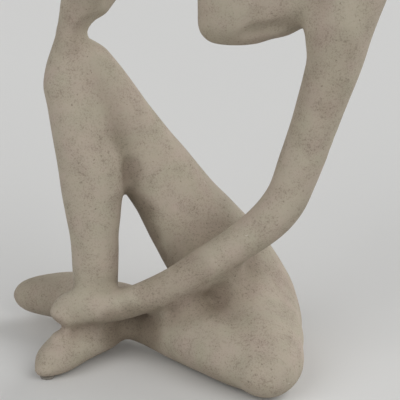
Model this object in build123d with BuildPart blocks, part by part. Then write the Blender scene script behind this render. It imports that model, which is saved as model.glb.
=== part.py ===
from build123d import *
import os

# A seated figure in thought: smooth cast limbs without a face, glued over steel rods, on felt pads.
# The figure looks towards -X, its near side is -Y, and the origin is the seat pad's underside.
# All lengths are in millimetres. A girth is the radius at the fullest ring of a limb.

os.makedirs("parts", exist_ok=True)

# Places of the body: lengths ahead of or behind the seat, to its near or far side, and above the ground
knee_ahead = 77.0
knee_near = 2.0
knee_height = 141.5
heel_ahead = 67.5
heel_near = 8.0
heel_height = 6.0
crossed_hip_ahead = 4.0
crossed_hip_height = 21.0
crossed_knee_behind = 2.0
crossed_knee_near = 60.8
crossed_knee_height = 10.5
crossed_ankle_ahead = 64.0
crossed_ankle_far = 11.0
crossed_ankle_height = 13.2
chest_top_behind = 4.5
chest_top_far = 6.0
chest_top_height = 209.0
chest_bottom_ahead = 11.0
chest_bottom_height = 135.6

# Places of what hangs on those: lengths from the place that carries each
instep_behind_heel = 6.5
instep_far_of_heel = 10.0
instep_above_heel = 5.5
toe_ahead_of_heel = 25.5
toe_near_of_heel = 27.6
toe_below_heel = 2.0
crossed_toe_ahead_of_ankle = 45.5
crossed_toe_far_of_ankle = 20.2
crossed_toe_below_ankle = 2.4
hand_ahead_of_heel = 19.5
hand_near_of_heel = 7.8
hand_above_heel = 18.0
neck_reach = 42.5
neck_drift = 10.0
neck_rise = 23.0
chin_ahead_of_neck = 12.5
chin_below_neck = 17.5
crown_behind_chin = 13.5
crown_above_chin = 51.0
fist_ahead_of_chin = 1.5
fist_above_chin = 18.5

# Girths
thigh_girth = 22.3
shin_girth = 13.5
foot_girth = 9.6
crossed_thigh_girth = 18.6
crossed_shin_girth = 17.3
crossed_foot_girth = 11.7
near_arm_girth = 13.6
far_arm_girth = 10.8
forearm_girth = 8.0
chest_girth = 26.0
neck_girth = 12.0
head_girth = 18.2

# The shallow hollow that is carved under the chest, with its start placed from the chest's lowest point
hollow_ahead_of_chest = 20.7
hollow_near_of_chest = 19.4
hollow_below_chest = 6.0
hollow_length = 68.4
hollow_rise = 22.8
hollow_girth = 9.3

# Felt pads
pad_thickness = 1.5
pad_chamfer = 0.3
seat_pad_radius = 15.0
knee_pad_radius = 5.5
toe_pad_radius = 3.2

# Steel rods and pins, with the room for glue round them and at their ends
rod_radius = 2.0
pin_radius = 1.5
rod_chamfer = 0.4
glue_gap = 0.1
end_gap = 0.5
arm_rod_bend_radius = 40.0
arm_rod_corner_share = 1.31
shoulder_rod_length = 40.0
elbow_rod_length = 30.0
neck_rod_length = 32.0
hip_dowel_length = 26.0
hip_dowel_height = 19.0
hip_dowel_spacing = 13.0
hand_pin_length = 12.0
chin_pin_length = 15.0

# Landmarks
seat = Vector(0, 0, 0)
knee = Vector(-knee_ahead, -knee_near, knee_height)
heel = Vector(-heel_ahead, -heel_near, heel_height)
instep = heel + Vector(instep_behind_heel, instep_far_of_heel, instep_above_heel)
toe_tip = heel + Vector(-toe_ahead_of_heel, -toe_near_of_heel, -toe_below_heel)
hand_tip = heel + Vector(-hand_ahead_of_heel, -hand_near_of_heel, hand_above_heel)
crossed_hip = Vector(-crossed_hip_ahead, 0, crossed_hip_height)
crossed_knee = Vector(crossed_knee_behind, -crossed_knee_near, crossed_knee_height)
crossed_ankle = Vector(-crossed_ankle_ahead, crossed_ankle_far, crossed_ankle_height)
crossed_toe = crossed_ankle + Vector(
    -crossed_toe_ahead_of_ankle, crossed_toe_far_of_ankle, -crossed_toe_below_ankle
)
chest_bottom = Vector(-chest_bottom_ahead, 0, chest_bottom_height)
chest_top = Vector(chest_top_behind, chest_top_far, chest_top_height)
hollow_start = chest_bottom + Vector(-hollow_ahead_of_chest, -hollow_near_of_chest, -hollow_below_chest)
hollow_end = hollow_start + Vector(hollow_length, 0, hollow_rise)
neck_top = chest_top + Vector(-neck_reach, -neck_drift, neck_rise)
chin = neck_top + Vector(-chin_ahead_of_neck, 0, -chin_below_neck)
crown = chin + Vector(crown_behind_chin, 0, crown_above_chin)
fist_tip = chin + Vector(-fist_ahead_of_chin, 0, fist_above_chin)

# Both arms and the neck take root inside the top of the chest
near_arm_root_share = Vector(0.21, -0.04, -0.29)
far_arm_root_share = Vector(0.56, -0.12, -0.31)
neck_root_share = Vector(0.40, 0, -0.69)
near_arm_root = chest_top + near_arm_root_share * chest_girth
far_arm_root = chest_top + far_arm_root_share * chest_girth
neck_root = chest_top + neck_root_share * chest_girth

# A limb's width is measured square to one of these ways: the raised limbs' across the side view,
# and the lying limbs' level with the ground
side_way = Vector(0, 1, 0)
up_way = Vector(0, 0, 1)

# Rings of each limb: share of the way along, bow and lift off the straight way as shares of its
# length, and width and depth as shares of the girth
thigh_ring_shares = (
    (0.000, 0.000, 0.000, 0.00, 0.00),
    (0.029, 0.005, 0.002, 0.33, 0.33),
    (0.098, 0.018, 0.009, 0.53, 0.49),
    (0.195, 0.012, 0.014, 0.57, 0.54),
    (0.302, 0.009, 0.019, 0.62, 0.58),
    (0.410, 0.002, 0.024, 0.69, 0.65),
    (0.515, -0.006, 0.023, 0.76, 0.72),
    (0.618, -0.015, 0.022, 0.87, 0.78),
    (0.718, -0.027, 0.015, 0.96, 0.87),
    (0.843, -0.035, 0.008, 1.00, 0.99),
    (0.951, -0.022, 0.000, 0.95, 0.95),
    (1.000, 0.000, 0.000, 0.90, 0.90),
    (1.076, 0.042, 0.000, 0.73, 0.73),
)
shin_ring_shares = (
    (-0.020, 0.000, 0.002, 0.46, 0.46),
    (0.000, 0.000, 0.000, 0.46, 0.46),
    (0.048, 0.001, -0.002, 0.61, 0.59),
    (0.089, 0.001, -0.003, 0.77, 0.70),
    (0.162, 0.004, -0.015, 0.93, 0.81),
    (0.235, -0.005, -0.026, 0.99, 0.87),
    (0.327, -0.013, -0.037, 0.99, 0.89),
    (0.406, -0.020, -0.041, 1.00, 0.85),
    (0.484, -0.017, -0.045, 0.93, 0.81),
    (0.547, -0.014, -0.049, 0.84, 0.77),
    (0.643, -0.013, -0.053, 0.76, 0.73),
    (0.743, -0.007, -0.048, 0.73, 0.70),
    (0.839, 0.000, -0.037, 0.71, 0.68),
    (0.927, -0.001, -0.011, 0.69, 0.67),
    (0.978, -0.002, -0.001, 0.48, 0.48),
    (1.000, 0.000, 0.000, 0.00, 0.00),
)
foot_ring_shares = (
    (0.000, 0.000, 0.000, 0.00, 0.00),
    (0.077, 0.001, 0.011, 0.84, 0.72),
    (0.234, 0.017, 0.026, 1.05, 0.94),
    (0.476, 0.011, 0.034, 1.00, 0.83),
    (0.723, 0.006, 0.016, 0.88, 0.67),
    (0.875, 0.001, 0.006, 0.65, 0.50),
    (0.970, 0.001, 0.002, 0.33, 0.27),
    (1.000, 0.000, 0.000, 0.00, 0.00),
)
crossed_thigh_ring_shares = (
    (0.000, 0.000, 0.000, 0.97, 0.97),
    (0.242, -0.008, 0.025, 1.01, 1.01),
    (0.491, 0.010, 0.019, 0.98, 0.91),
    (0.708, 0.019, 0.004, 0.91, 0.77),
    (0.858, 0.017, -0.003, 0.73, 0.62),
    (0.955, 0.008, -0.003, 0.44, 0.39),
    (1.000, 0.000, 0.000, 0.00, 0.00),
)
crossed_shin_ring_shares = (
    (0.011, -0.121, 0.010, 0.00, 0.00),
    (0.044, -0.116, 0.014, 0.46, 0.46),
    (0.142, -0.109, 0.024, 0.84, 0.75),
    (0.290, -0.099, 0.034, 1.00, 0.83),
    (0.478, -0.076, 0.033, 0.90, 0.83),
    (0.670, -0.052, 0.016, 0.73, 0.71),
    (0.841, -0.022, 0.000, 0.57, 0.57),
    (1.000, 0.000, 0.000, 0.53, 0.52),
)
crossed_foot_ring_shares = (
    (-0.320, -0.050, 0.018, 0.00, 0.00),
    (-0.210, -0.060, 0.020, 0.72, 0.72),
    (0.020, -0.030, 0.026, 0.96, 0.87),
    (0.270, -0.060, 0.032, 1.00, 0.93),
    (0.480, -0.065, 0.034, 0.94, 0.93),
    (0.690, -0.045, 0.024, 0.81, 0.80),
    (0.860, -0.020, 0.012, 0.64, 0.62),
    (0.955, -0.006, 0.004, 0.35, 0.35),
    (1.000, 0.000, 0.000, 0.00, 0.00),
)
near_arm_ring_shares = (
    (0.000, 0.000, 0.000, 0.59, 0.59),
    (-0.023, -0.032, -0.017, 0.76, 0.76),
    (-0.035, -0.075, -0.038, 0.88, 0.88),
    (-0.015, -0.135, -0.059, 0.95, 0.91),
    (0.039, -0.185, -0.073, 1.00, 0.92),
    (0.139, -0.211, -0.085, 0.98, 0.92),
    (0.213, -0.227, -0.092, 0.90, 0.85),
    (0.261, -0.241, -0.097, 0.83, 0.79),
    (0.340, -0.257, -0.099, 0.74, 0.74),
    (0.419, -0.272, -0.101, 0.69, 0.69),
    (0.492, -0.285, -0.098, 0.67, 0.66),
    (0.558, -0.291, -0.097, 0.65, 0.63),
    (0.641, -0.270, -0.088, 0.60, 0.59),
    (0.697, -0.246, -0.077, 0.57, 0.56),
    (0.765, -0.214, -0.065, 0.56, 0.54),
    (0.825, -0.180, -0.059, 0.54, 0.51),
    (0.879, -0.140, -0.053, 0.50, 0.48),
    (0.912, -0.111, -0.045, 0.49, 0.44),
    (0.940, -0.069, -0.042, 0.54, 0.40),
    (0.965, -0.033, -0.029, 0.57, 0.37),
    (0.988, -0.012, -0.012, 0.40, 0.33),
    (0.997, -0.003, -0.003, 0.19, 0.18),
    (1.000, 0.000, 0.000, 0.00, 0.00),
)
chest_ring_shares = (
    (0.000, 0.000, 0.000, 0.00, 0.00),
    (0.010, 0.001, -0.001, 0.33, 0.19),
    (0.038, 0.012, -0.003, 0.53, 0.33),
    (0.077, 0.031, -0.006, 0.68, 0.43),
    (0.139, 0.055, -0.011, 0.82, 0.55),
    (0.209, 0.072, -0.017, 0.91, 0.61),
    (0.305, 0.090, -0.022, 1.02, 0.66),
    (0.455, 0.104, -0.026, 1.08, 0.68),
    (0.616, 0.092, -0.023, 1.05, 0.67),
    (0.750, 0.068, -0.013, 0.92, 0.62),
    (0.863, 0.029, -0.005, 0.67, 0.50),
    (0.941, 0.012, -0.001, 0.44, 0.37),
    (0.987, 0.003, 0.001, 0.21, 0.19),
    (1.000, 0.000, 0.000, 0.00, 0.00),
)
far_arm_ring_shares = (
    (-0.023, 0.010, -0.004, 0.57, 0.57),
    (0.000, 0.000, 0.000, 0.57, 0.57),
    (0.040, -0.018, 0.012, 0.64, 0.64),
    (0.130, -0.055, 0.046, 0.72, 0.72),
    (0.280, -0.098, 0.090, 0.79, 0.79),
    (0.450, -0.120, 0.122, 0.84, 0.84),
    (0.610, -0.122, 0.133, 0.91, 0.91),
    (0.755, -0.108, 0.113, 0.99, 0.99),
    (0.880, -0.078, 0.063, 0.96, 0.96),
    (0.961, -0.033, 0.024, 0.69, 0.69),
    (1.000, 0.000, 0.000, 0.00, 0.00),
)
forearm_ring_shares = (
    (-0.020, 0.003, 0.002, 0.76, 0.76),
    (0.000, 0.000, 0.000, 0.78, 0.78),
    (0.058, -0.002, -0.007, 0.97, 0.92),
    (0.166, 0.000, -0.019, 1.12, 1.00),
    (0.332, 0.002, -0.037, 1.04, 0.95),
    (0.497, 0.000, -0.045, 0.84, 0.79),
    (0.627, -0.007, -0.043, 0.70, 0.69),
    (0.724, -0.012, -0.031, 0.82, 0.75),
    (0.824, -0.006, -0.019, 1.00, 0.75),
    (0.923, -0.001, -0.007, 0.81, 0.62),
    (0.978, 0.000, -0.001, 0.42, 0.35),
    (1.000, 0.000, 0.000, 0.00, 0.00),
)
neck_ring_shares = (
    (0.000, 0.000, 0.000, 1.00, 1.00),
    (0.145, 0.019, 0.013, 0.95, 0.95),
    (0.317, 0.035, 0.020, 0.87, 0.87),
    (0.477, 0.034, 0.016, 0.77, 0.77),
    (0.634, 0.017, 0.012, 0.72, 0.72),
    (0.813, 0.003, 0.006, 0.75, 0.75),
    (1.000, 0.000, 0.000, 0.83, 0.83),
)
head_ring_shares = (
    (0.000, 0.000, 0.000, 0.00, 0.00),
    (0.030, 0.002, 0.000, 0.33, 0.33),
    (0.129, 0.005, 0.000, 0.66, 0.63),
    (0.288, 0.012, 0.000, 0.89, 0.84),
    (0.485, 0.019, 0.000, 1.00, 0.95),
    (0.681, 0.016, 0.000, 0.95, 0.91),
    (0.855, 0.009, 0.000, 0.70, 0.68),
    (0.962, 0.004, 0.000, 0.38, 0.38),
    (1.000, 0.000, 0.000, 0.00, 0.00),
)
hollow_ring_shares = (
    (0.000, 0.000, 0.000, 0.00, 0.00),
    (0.030, 0.000, 0.000, 0.34, 0.34),
    (0.117, 0.000, 0.000, 0.64, 0.64),
    (0.250, 0.000, 0.000, 0.87, 0.87),
    (0.500, 0.000, 0.000, 1.00, 1.00),
    (0.750, 0.000, 0.000, 0.87, 0.87),
    (0.883, 0.000, 0.000, 0.64, 0.64),
    (0.970, 0.000, 0.000, 0.34, 0.34),
    (1.000, 0.000, 0.000, 0.00, 0.00),
)


def centreline(start, end, square_to, ring_shares):
    """The bent line through a limb's ring centres."""
    way = end - start
    bow_way = square_to.cross(way).normalized()
    lift_way = way.normalized().cross(bow_way)
    return [
        start + way * along + bow_way * (way.length * bow) + lift_way * (way.length * lift)
        for along, bow, lift, width, depth in ring_shares
    ]


def heading_at(line, number):
    """The way that a limb runs at one of its rings."""
    before = max(number - 1, 0)
    after = min(number + 1, len(line) - 1)
    return (line[after] - line[before]).normalized()


def plane_at(line, number):
    """The plane through one of a limb's ring centres, square to the limb."""
    return Plane(origin=line[number], z_dir=heading_at(line, number))


def limb(line, girth, square_to, ring_shares, first=0, last=None, level_rings=False):
    """A limb lofted through ellipses square to its centreline, or level; a ring of no girth is a tip.

    Each ring is at least as wide as it is deep, so that all start on the same side.
    """
    rings = []
    for number in range(first, len(line) if last is None else last + 1):
        centre = line[number]
        width = girth * ring_shares[number][3]
        depth = girth * ring_shares[number][4]
        if width == 0:
            rings.append(Vertex(centre.X, centre.Y, centre.Z))
            continue
        heading = up_way if level_rings else heading_at(line, number)
        ring_plane = Plane(origin=centre, x_dir=square_to.cross(heading), z_dir=heading)
        with BuildSketch(ring_plane) as ring:
            Ellipse(width, depth)
        rings.append(ring.sketch)
    with BuildPart() as form:
        loft(sections=rings)
    return form.part


def joined(*forms):
    """Several forms as one."""
    with BuildPart() as whole:
        for form in forms:
            add(form)
    return whole.part


def one_side(form, plane, keep):
    """What a form has on one side of a plane."""
    with BuildPart() as piece:
        add(form)
        split(bisect_by=plane, keep=keep)
    return piece.part


def straight_rod(middle, radius, length):
    """A round bar centred on a plane's origin, along its normal."""
    with BuildPart() as bar:
        with BuildSketch(middle):
            Circle(radius)
        extrude(amount=length / 2, both=True)
    return bar.part


def bent_rod(points, radius, bend_radius):
    """A round bar along two runs with one bend between them."""
    with BuildPart() as bar:
        with BuildLine() as way:
            FilletPolyline(*points, radius=bend_radius)
        with BuildSketch(Plane(origin=way.line @ 0, z_dir=way.line % 0)):
            Circle(radius)
        sweep()
    return bar.part


def bore(middle, radius, length):
    """The hole that a straight rod is glued into."""
    return straight_rod(middle, radius + glue_gap, length + 2 * end_gap)


# How many rings of a limb come before the one that sets a joint, a pad or a rod's end
shoulder_bend_after_rings = 2
shoulder_after_rings = 5
armpit_after_rings = 6
upper_elbow_after_rings = 10
wrist_after_rings = 16
palm_after_rings = 18
far_socket_after_rings = 6
nape_after_rings = 4
fist_after_rings = 8
knee_rest_after_rings = 3
ball_after_rings = 5

# Centrelines and outer forms of the limbs
thigh_line = centreline(knee, seat, side_way, thigh_ring_shares)
shin_line = centreline(knee, heel, side_way, shin_ring_shares)
foot_line = centreline(instep, toe_tip, up_way, foot_ring_shares)
crossed_thigh_line = centreline(crossed_hip, crossed_knee, up_way, crossed_thigh_ring_shares)
crossed_shin_line = centreline(crossed_knee, crossed_ankle, up_way, crossed_shin_ring_shares)
crossed_foot_line = centreline(crossed_ankle, crossed_toe, up_way, crossed_foot_ring_shares)
near_arm_line = centreline(near_arm_root, hand_tip, side_way, near_arm_ring_shares)
far_arm_line = centreline(knee, far_arm_root, side_way, far_arm_ring_shares)
forearm_line = centreline(knee, fist_tip, side_way, forearm_ring_shares)
chest_line = centreline(chest_bottom, chest_top, side_way, chest_ring_shares)
neck_line = centreline(neck_root, neck_top, side_way, neck_ring_shares)
head_line = centreline(chin, crown, side_way, head_ring_shares)
hollow_line = centreline(hollow_start, hollow_end, side_way, hollow_ring_shares)

thigh_form = limb(thigh_line, thigh_girth, side_way, thigh_ring_shares)
shin_form = limb(shin_line, shin_girth, side_way, shin_ring_shares)
foot_form = limb(foot_line, foot_girth, up_way, foot_ring_shares)
crossed_thigh_form = limb(crossed_thigh_line, crossed_thigh_girth, up_way, crossed_thigh_ring_shares)
crossed_shin_form = limb(crossed_shin_line, crossed_shin_girth, up_way, crossed_shin_ring_shares)
crossed_foot_form = limb(crossed_foot_line, crossed_foot_girth, up_way, crossed_foot_ring_shares)
near_arm_form = limb(
    near_arm_line, near_arm_girth, side_way, near_arm_ring_shares, first=armpit_after_rings - 1
)
near_root_form = limb(
    near_arm_line, near_arm_girth, side_way, near_arm_ring_shares, last=shoulder_bend_after_rings
)
near_shoulder_form = limb(
    near_arm_line,
    near_arm_girth,
    side_way,
    near_arm_ring_shares,
    first=shoulder_bend_after_rings,
    last=armpit_after_rings + 1,
)
far_arm_form = limb(far_arm_line, far_arm_girth, side_way, far_arm_ring_shares)
forearm_form = limb(forearm_line, forearm_girth, side_way, forearm_ring_shares)
chest_form = limb(chest_line, chest_girth, side_way, chest_ring_shares, level_rings=True)
neck_form = limb(neck_line, neck_girth, side_way, neck_ring_shares)
head_form = limb(head_line, head_girth, side_way, head_ring_shares)
hollow_form = limb(hollow_line, hollow_girth, side_way, hollow_ring_shares)

# Planes where the castings meet, and the ground under them
ground_plane = Plane.XY.offset(pad_thickness)
elbow_plane = Plane(origin=knee, z_dir=up_way)
armpit_plane = plane_at(near_arm_line, armpit_after_rings)
far_shoulder_plane = plane_at(far_arm_line, far_socket_after_rings)
neck_plane = plane_at(neck_line, nape_after_rings)

# Middles of the hidden rods and pins
hip_middle = Vector(crossed_thigh_line[1].X, -thigh_girth, hip_dowel_height)
hip_dowel_planes = [
    Plane(origin=hip_middle + Vector(offset, 0, 0), z_dir=side_way)
    for offset in (-hip_dowel_spacing / 2, hip_dowel_spacing / 2)
]
hand_middle = near_arm_line[palm_after_rings]
hand_half_depth = near_arm_girth * near_arm_ring_shares[palm_after_rings][4] / 2
hand_pin_plane = Plane(origin=hand_middle + side_way * hand_half_depth, z_dir=side_way)
chin_pin_plane = plane_at(forearm_line, fist_after_rings)

# The arm's rod runs straight down the upper arm, bends at the elbow and runs straight to the wrist
arm_rod_top = near_arm_line[shoulder_after_rings]
arm_rod_run = near_arm_line[upper_elbow_after_rings] - arm_rod_top
arm_rod_corner = arm_rod_top + arm_rod_run * arm_rod_corner_share
arm_rod_end = near_arm_line[wrist_after_rings]
top_way = (arm_rod_top - arm_rod_corner).normalized()
end_way = (arm_rod_end - arm_rod_corner).normalized()
arm_rod_points = (arm_rod_top, arm_rod_corner, arm_rod_end)
arm_bore_points = (arm_rod_top + top_way * end_gap, arm_rod_corner, arm_rod_end + end_way * end_gap)

# Whole outer forms, before their bores
raised_leg_form = one_side(joined(thigh_form, shin_form, foot_form), elbow_plane, Keep.BOTTOM)
crossed_leg_form = joined(crossed_thigh_form, crossed_shin_form, crossed_foot_form)
near_shoulder_piece = joined(near_root_form, one_side(near_shoulder_form, armpit_plane, Keep.BOTTOM))
far_shoulder_piece = one_side(far_arm_form, far_shoulder_plane, Keep.TOP)
neck_stub_piece = one_side(neck_form, neck_plane, Keep.BOTTOM)
nape_piece = one_side(neck_form, neck_plane, Keep.TOP)
with BuildPart() as carved_chest:
    add(chest_form)
    add(hollow_form, mode=Mode.SUBTRACT)
torso_form = joined(carved_chest.part, near_shoulder_piece, far_shoulder_piece, neck_stub_piece)
whole_head_form = joined(head_form, nape_piece)

# Bores
hip_bores = [bore(plane, rod_radius, hip_dowel_length) for plane in hip_dowel_planes]
hand_bore = bore(hand_pin_plane, pin_radius, hand_pin_length)
chin_bore = bore(chin_pin_plane, pin_radius, chin_pin_length)
elbow_bore = bore(elbow_plane, rod_radius, elbow_rod_length)
far_shoulder_bore = bore(far_shoulder_plane, rod_radius, shoulder_rod_length)
neck_bore = bore(neck_plane, rod_radius, neck_rod_length)
arm_bore = bent_rod(arm_bore_points, rod_radius + glue_gap, arm_rod_bend_radius)

# The main casting: the seat, and the raised leg with its knee up
with BuildPart() as hips_and_raised_leg:
    add(raised_leg_form)
    split(bisect_by=ground_plane, keep=Keep.TOP)
    add(elbow_bore, mode=Mode.SUBTRACT)
    add(hip_bores, mode=Mode.SUBTRACT)
    add(hand_bore, mode=Mode.SUBTRACT)
hips_and_raised_leg.part.label = "hips_and_raised_leg"
export_step(hips_and_raised_leg.part, "parts/hips_and_raised_leg.step")

# The leg that lies on the ground and crosses behind the raised ankle
with BuildPart() as crossed_leg:
    add(crossed_leg_form)
    split(bisect_by=ground_plane, keep=Keep.TOP)
    add(raised_leg_form, mode=Mode.SUBTRACT)
    add(hip_bores, mode=Mode.SUBTRACT)
crossed_leg.part.label = "crossed_leg"
export_step(crossed_leg.part, "parts/crossed_leg.step")

# Chest, both shoulders and the root of the neck
with BuildPart() as torso:
    add(torso_form)
    add(arm_bore, mode=Mode.SUBTRACT)
    add(far_shoulder_bore, mode=Mode.SUBTRACT)
    add(neck_bore, mode=Mode.SUBTRACT)
torso.part.label = "torso"
export_step(torso.part, "parts/torso.step")

# The near arm, which reaches past the raised thigh to hold the ankle
with BuildPart() as reaching_arm:
    add(near_arm_form)
    split(bisect_by=armpit_plane, keep=Keep.TOP)
    add(raised_leg_form, mode=Mode.SUBTRACT)
    add(torso_form, mode=Mode.SUBTRACT)
    add(arm_bore, mode=Mode.SUBTRACT)
    add(hand_bore, mode=Mode.SUBTRACT)
reaching_arm.part.label = "reaching_arm"
export_step(reaching_arm.part, "parts/reaching_arm.step")

# Head and nape
with BuildPart() as head:
    add(whole_head_form)
    add(neck_bore, mode=Mode.SUBTRACT)
    add(chin_bore, mode=Mode.SUBTRACT)
head.part.label = "head"
export_step(head.part, "parts/head.step")

# The far arm, whose elbow stands on the raised knee and whose fist is under the chin
with BuildPart() as propping_arm:
    add(far_arm_form)
    split(bisect_by=far_shoulder_plane, keep=Keep.BOTTOM)
    add(forearm_form)
    split(bisect_by=elbow_plane, keep=Keep.TOP)
    add(whole_head_form, mode=Mode.SUBTRACT)
    add(elbow_bore, mode=Mode.SUBTRACT)
    add(far_shoulder_bore, mode=Mode.SUBTRACT)
    add(chin_bore, mode=Mode.SUBTRACT)
propping_arm.part.label = "propping_arm"
export_step(propping_arm.part, "parts/propping_arm.step")

# Steel rods and pins in the joints
with BuildPart() as reaching_arm_rod:
    add(bent_rod(arm_rod_points, rod_radius, arm_rod_bend_radius))
    chamfer(reaching_arm_rod.edges().filter_by(GeomType.CIRCLE).sort_by(Axis.Z)[0], length=rod_chamfer)
reaching_arm_rod.part.label = "reaching_arm_rod"
export_step(reaching_arm_rod.part, "parts/reaching_arm_rod.step")

with BuildPart() as far_shoulder_rod:
    add(straight_rod(far_shoulder_plane, rod_radius, shoulder_rod_length))
    chamfer(far_shoulder_rod.edges().filter_by(GeomType.CIRCLE), length=rod_chamfer)
far_shoulder_rod.part.label = "far_shoulder_rod"
export_step(far_shoulder_rod.part, "parts/far_shoulder_rod.step")

with BuildPart() as elbow_rod:
    add(straight_rod(elbow_plane, rod_radius, elbow_rod_length))
    chamfer(elbow_rod.edges().filter_by(GeomType.CIRCLE), length=rod_chamfer)
elbow_rod.part.label = "elbow_rod"
export_step(elbow_rod.part, "parts/elbow_rod.step")

with BuildPart() as neck_rod:
    add(straight_rod(neck_plane, rod_radius, neck_rod_length))
    chamfer(neck_rod.edges().filter_by(GeomType.CIRCLE), length=rod_chamfer)
neck_rod.part.label = "neck_rod"
export_step(neck_rod.part, "parts/neck_rod.step")

with BuildPart() as hip_dowels:
    for plane in hip_dowel_planes:
        add(straight_rod(plane, rod_radius, hip_dowel_length))
    chamfer(hip_dowels.edges().filter_by(GeomType.CIRCLE), length=rod_chamfer)
hip_dowels.part.label = "hip_dowels"
export_step(hip_dowels.part, "parts/hip_dowels.step")

with BuildPart() as hand_pin:
    add(straight_rod(hand_pin_plane, pin_radius, hand_pin_length))
    chamfer(hand_pin.edges().filter_by(GeomType.CIRCLE), length=rod_chamfer)
hand_pin.part.label = "hand_pin"
export_step(hand_pin.part, "parts/hand_pin.step")

with BuildPart() as chin_pin:
    add(straight_rod(chin_pin_plane, pin_radius, chin_pin_length))
    chamfer(chin_pin.edges().filter_by(GeomType.CIRCLE), length=rod_chamfer)
chin_pin.part.label = "chin_pin"
export_step(chin_pin.part, "parts/chin_pin.step")

# Felt pads under the seat, the crossed knee and the ball of the raised foot
with BuildPart() as seat_pad:
    with BuildSketch(Plane(origin=seat)):
        Circle(seat_pad_radius)
    extrude(amount=pad_thickness)
    chamfer(seat_pad.edges().filter_by(GeomType.CIRCLE).sort_by(Axis.Z)[0], length=pad_chamfer)
seat_pad.part.label = "seat_pad"
export_step(seat_pad.part, "parts/seat_pad.step")

knee_rest = crossed_thigh_line[knee_rest_after_rings]
knee_pad_place = Vector(knee_rest.X, knee_rest.Y, 0)
with BuildPart() as knee_pad:
    with BuildSketch(Plane(origin=knee_pad_place)):
        Circle(knee_pad_radius)
    extrude(amount=pad_thickness)
    chamfer(knee_pad.edges().filter_by(GeomType.CIRCLE).sort_by(Axis.Z)[0], length=pad_chamfer)
knee_pad.part.label = "knee_pad"
export_step(knee_pad.part, "parts/knee_pad.step")

toe_ball = foot_line[ball_after_rings]
toe_pad_place = Vector(toe_ball.X, toe_ball.Y, 0)
with BuildPart() as toe_pad:
    with BuildSketch(Plane(origin=toe_pad_place)):
        Circle(toe_pad_radius)
    extrude(amount=pad_thickness)
    chamfer(toe_pad.edges().filter_by(GeomType.CIRCLE).sort_by(Axis.Z)[0], length=pad_chamfer)
toe_pad.part.label = "toe_pad"
export_step(toe_pad.part, "parts/toe_pad.step")
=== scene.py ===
"""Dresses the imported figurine: a cast sandstone skin, steel rods, felt pads and a plain studio stage.

It is laid out as an add-on and run as a script. All lengths are in metres.
"""

import itertools
import math

import bmesh
import bpy
import numpy as np
import openvdb
from bpy.props import FloatProperty, FloatVectorProperty, IntProperty, PointerProperty
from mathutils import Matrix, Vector, noise


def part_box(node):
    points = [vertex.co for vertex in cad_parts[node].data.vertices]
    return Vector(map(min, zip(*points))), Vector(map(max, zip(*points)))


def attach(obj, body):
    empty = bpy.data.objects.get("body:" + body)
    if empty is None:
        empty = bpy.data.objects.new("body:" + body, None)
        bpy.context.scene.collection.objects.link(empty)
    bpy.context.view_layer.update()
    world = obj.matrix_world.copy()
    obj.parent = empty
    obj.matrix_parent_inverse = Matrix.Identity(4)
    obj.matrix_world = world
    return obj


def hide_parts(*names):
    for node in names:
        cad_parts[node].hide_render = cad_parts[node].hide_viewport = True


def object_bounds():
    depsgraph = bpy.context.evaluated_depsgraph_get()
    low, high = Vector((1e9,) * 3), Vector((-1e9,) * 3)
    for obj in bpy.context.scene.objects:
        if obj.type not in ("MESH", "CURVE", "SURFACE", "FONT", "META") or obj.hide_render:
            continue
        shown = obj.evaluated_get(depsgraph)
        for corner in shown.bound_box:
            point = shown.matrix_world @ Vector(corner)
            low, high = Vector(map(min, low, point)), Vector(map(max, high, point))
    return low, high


bl_info = {
    "name": "Seated Figurine",
    "version": (1, 0, 0),
    "blender": (4, 5, 0),
    "location": "3D Viewport > Sidebar > Figurine",
    "description": "Builds the skin, rods, pads and stage of a cast figurine over its packed frame",
    "category": "Object",
}

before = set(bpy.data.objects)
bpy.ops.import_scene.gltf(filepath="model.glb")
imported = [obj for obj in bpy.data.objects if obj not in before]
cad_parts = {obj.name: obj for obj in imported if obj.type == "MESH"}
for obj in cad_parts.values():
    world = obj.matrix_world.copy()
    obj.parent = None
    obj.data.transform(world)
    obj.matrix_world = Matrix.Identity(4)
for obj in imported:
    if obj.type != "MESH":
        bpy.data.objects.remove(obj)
cad_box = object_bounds()

BODY = "root"
HIPS = "hips_and_raised_leg"
CROSSED_LEG = "crossed_leg"
TORSO = "torso"
NEAR_ARM = "reaching_arm"
HEAD = "head"
FAR_ARM = "propping_arm"
CASTINGS = (HIPS, CROSSED_LEG, TORSO, NEAR_ARM, HEAD, FAR_ARM)
RODS = ("reaching_arm_rod", "far_shoulder_rod", "elbow_rod", "neck_rod", "hip_dowels", "hand_pin", "chin_pin")
PADS = ("seat_pad", "knee_pad", "toe_pad")
MIDDLE_SHARES = (0.5, 0.5, 0.5)


def spot(node, *shares):
    """A place in a CAD node's box, by shares of its sides; its middle when none are given."""
    low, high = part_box(node)
    return low + (high - low) * Vector(shares or MIDDLE_SHARES)


def new_object(name, data):
    """An object with its data, in the scene."""
    made = bpy.data.objects.new(name, data)
    bpy.context.scene.collection.objects.link(made)
    return made


# Settings

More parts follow.
